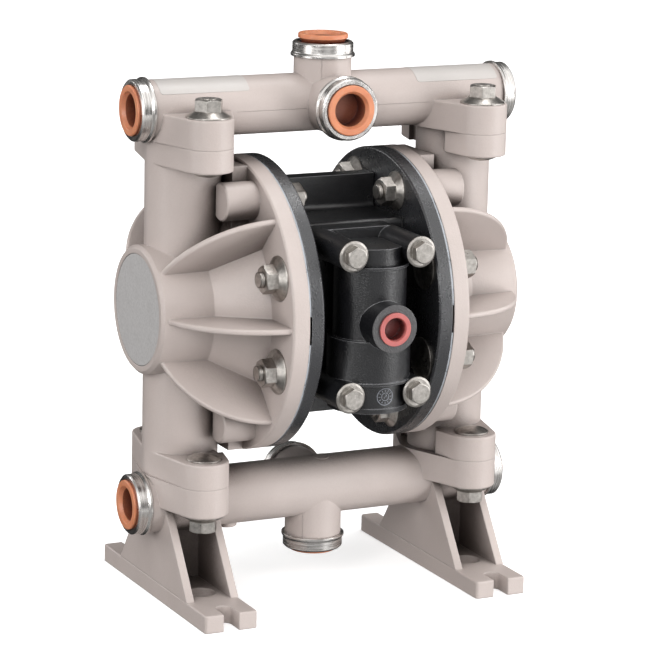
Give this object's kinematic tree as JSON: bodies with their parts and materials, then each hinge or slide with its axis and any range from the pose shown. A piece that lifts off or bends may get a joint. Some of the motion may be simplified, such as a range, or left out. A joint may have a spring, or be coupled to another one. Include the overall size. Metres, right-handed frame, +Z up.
{
  "type": "air operated diaphragm pump",
  "caption": "Compact air operated double diaphragm pump in moulded plastic, with ribbed fluid caps, top and bottom manifolds with ringed ports, slotted feet and a central air valve",
  "frame": {"origin": "on the floor, midway between the two feet", "axes": "+X along the diaphragm axis to the right fluid cap, -Y to the front with the air inlet, +Z up"},
  "size_m": [0.2142, 0.1656, 0.29],
  "materials": {
    "cap_plastic": "moulded, satin greige",
    "black_plastic": "moulded, fine black texture",
    "disc_metal": "bare brushed disc",
    "ring_steel": "bright tinned pressing",
    "zinc": "zinc plated",
    "rod_steel": "ground stainless steel",
    "plate_metal": "machined",
    "spool_metal": "machined and anodised",
    "diaphragm_rubber": "pale flexible elastomer",
    "seal_rubber": "black nitrile",
    "bush_plastic": "acetal",
    "ball_plastic": "white ball",
    "orange_plastic": "soft moulded plug",
    "red_plastic": "soft moulded plug"
  },
  "bodies": {
    "pump": {"left_fluid_cap": "cap_plastic", "right_fluid_cap": "cap_plastic", "outlet_manifold": "cap_plastic", "inlet_manifold": "cap_plastic", "left_end_disc": "disc_metal", "right_end_disc": "disc_metal", "left_air_cap": "black_plastic", "right_air_cap": "black_plastic", "centre_body": "black_plastic", "valve_block": "black_plastic", "upper_valve_cap": "black_plastic", "lower_valve_cap": "black_plastic", "left_diaphragm": "diaphragm_rubber", "right_diaphragm": "diaphragm_rubber", "rod_bushes": "bush_plastic", "pilot_bushes": "bush_plastic", "rod_seals": "seal_rubber", "valve_gasket": "seal_rubber", "air_cap_gaskets": "seal_rubber", "outlet_seat_seals": "seal_rubber", "inlet_seat_seals": "seal_rubber", "left_cap_bolts": "zinc", "right_cap_bolts": "zinc", "left_cap_nuts": "zinc", "right_cap_nuts": "zinc", "upper_manifold_bolts": "zinc", "upper_manifold_nuts": "zinc", "lower_manifold_bolts": "zinc", "lower_manifold_nuts": "zinc", "valve_bolts": "zinc", "air_cap_screws": "zinc", "outlet_ball_seats": "cap_plastic", "inlet_ball_seats": "cap_plastic", "outlet_port_rings": "ring_steel", "inlet_port_rings": "ring_steel"},
    "outlet_left_plug_body": {"outlet_left_plug": "orange_plastic"},
    "outlet_right_plug_body": {"outlet_right_plug": "orange_plastic"},
    "outlet_top_plug_body": {"outlet_top_plug": "orange_plastic"},
    "outlet_front_plug_body": {"outlet_front_plug": "orange_plastic"},
    "inlet_left_plug_body": {"inlet_left_plug": "orange_plastic"},
    "inlet_right_plug_body": {"inlet_right_plug": "orange_plastic"},
    "inlet_bottom_plug_body": {"inlet_bottom_plug": "orange_plastic"},
    "inlet_rear_plug_body": {"inlet_rear_plug": "orange_plastic"},
    "air_inlet_plug_body": {"air_inlet_plug": "red_plastic"},
    "outlet_left_ball_body": {"outlet_left_ball": "ball_plastic"},
    "outlet_right_ball_body": {"outlet_right_ball": "ball_plastic"},
    "inlet_left_ball_body": {"inlet_left_ball": "ball_plastic"},
    "inlet_right_ball_body": {"inlet_right_ball": "ball_plastic"},
    "rod": {"connecting_rod": "rod_steel", "left_inner_plate": "plate_metal", "right_inner_plate": "plate_metal", "left_outer_plate": "cap_plastic", "right_outer_plate": "cap_plastic", "rod_end_screws": "zinc"},
    "pilot": {"pilot_rod": "rod_steel"},
    "spool": {"valve_spool": "spool_metal", "spool_seals": "seal_rubber"}
  },
  "joints": [
    {"name": "outlet_left_plug_pull", "type": "slide", "parent": "pump", "child": "outlet_left_plug_body", "axis": [-1, 0, 0], "range_m": [0, 0.045]},
    {"name": "outlet_right_plug_pull", "type": "slide", "parent": "pump", "child": "outlet_right_plug_body", "axis": [1, 0, 0], "range_m": [0, 0.045]},
    {"name": "outlet_top_plug_pull", "type": "slide", "parent": "pump", "child": "outlet_top_plug_body", "axis": [0, 0, 1], "range_m": [0, 0.045]},
    {"name": "outlet_front_plug_pull", "type": "slide", "parent": "pump", "child": "outlet_front_plug_body", "axis": [0, -1, 0], "range_m": [0, 0.045]},
    {"name": "inlet_left_plug_pull", "type": "slide", "parent": "pump", "child": "inlet_left_plug_body", "axis": [-1, 0, 0], "range_m": [0, 0.045]},
    {"name": "inlet_right_plug_pull", "type": "slide", "parent": "pump", "child": "inlet_right_plug_body", "axis": [1, 0, 0], "range_m": [0, 0.045]},
    {"name": "inlet_bottom_plug_pull", "type": "slide", "parent": "pump", "child": "inlet_bottom_plug_body", "axis": [0, 0, -1], "range_m": [0, 0.0159]},
    {"name": "inlet_rear_plug_pull", "type": "slide", "parent": "pump", "child": "inlet_rear_plug_body", "axis": [0, 1, 0], "range_m": [0, 0.045]},
    {"name": "air_inlet_plug_pull", "type": "slide", "parent": "pump", "child": "air_inlet_plug_body", "axis": [0, -1, 0], "range_m": [0, 0.035]},
    {"name": "outlet_left_ball_lift", "type": "slide", "parent": "pump", "child": "outlet_left_ball_body", "axis": [0, 0, 1], "range_m": [0, 0.006]},
    {"name": "outlet_right_ball_lift", "type": "slide", "parent": "pump", "child": "outlet_right_ball_body", "axis": [0, 0, 1], "range_m": [0, 0.006]},
    {"name": "inlet_left_ball_lift", "type": "slide", "parent": "pump", "child": "inlet_left_ball_body", "axis": [0, 0, 1], "range_m": [0, 0.006]},
    {"name": "inlet_right_ball_lift", "type": "slide", "parent": "pump", "child": "inlet_right_ball_body", "axis": [0, 0, 1], "range_m": [0, 0.006]},
    {"name": "rod_stroke", "type": "slide", "parent": "pump", "child": "rod", "axis": [1, 0, 0], "range_m": [-0.007, 0.007], "deforming": ["left_diaphragm", "right_diaphragm"]},
    {"name": "pilot_shift", "type": "slide", "parent": "pump", "child": "pilot", "axis": [1, 0, 0], "range_m": [-0.0028, 0.0028]},
    {"name": "spool_shift", "type": "slide", "parent": "pump", "child": "spool", "axis": [0, 0, 1], "range_m": [0, 0.008]}
  ],
  "couplings": [
    {"joint": "pilot_shift", "follows": "rod_stroke", "ratio": 0.4}
  ]
}
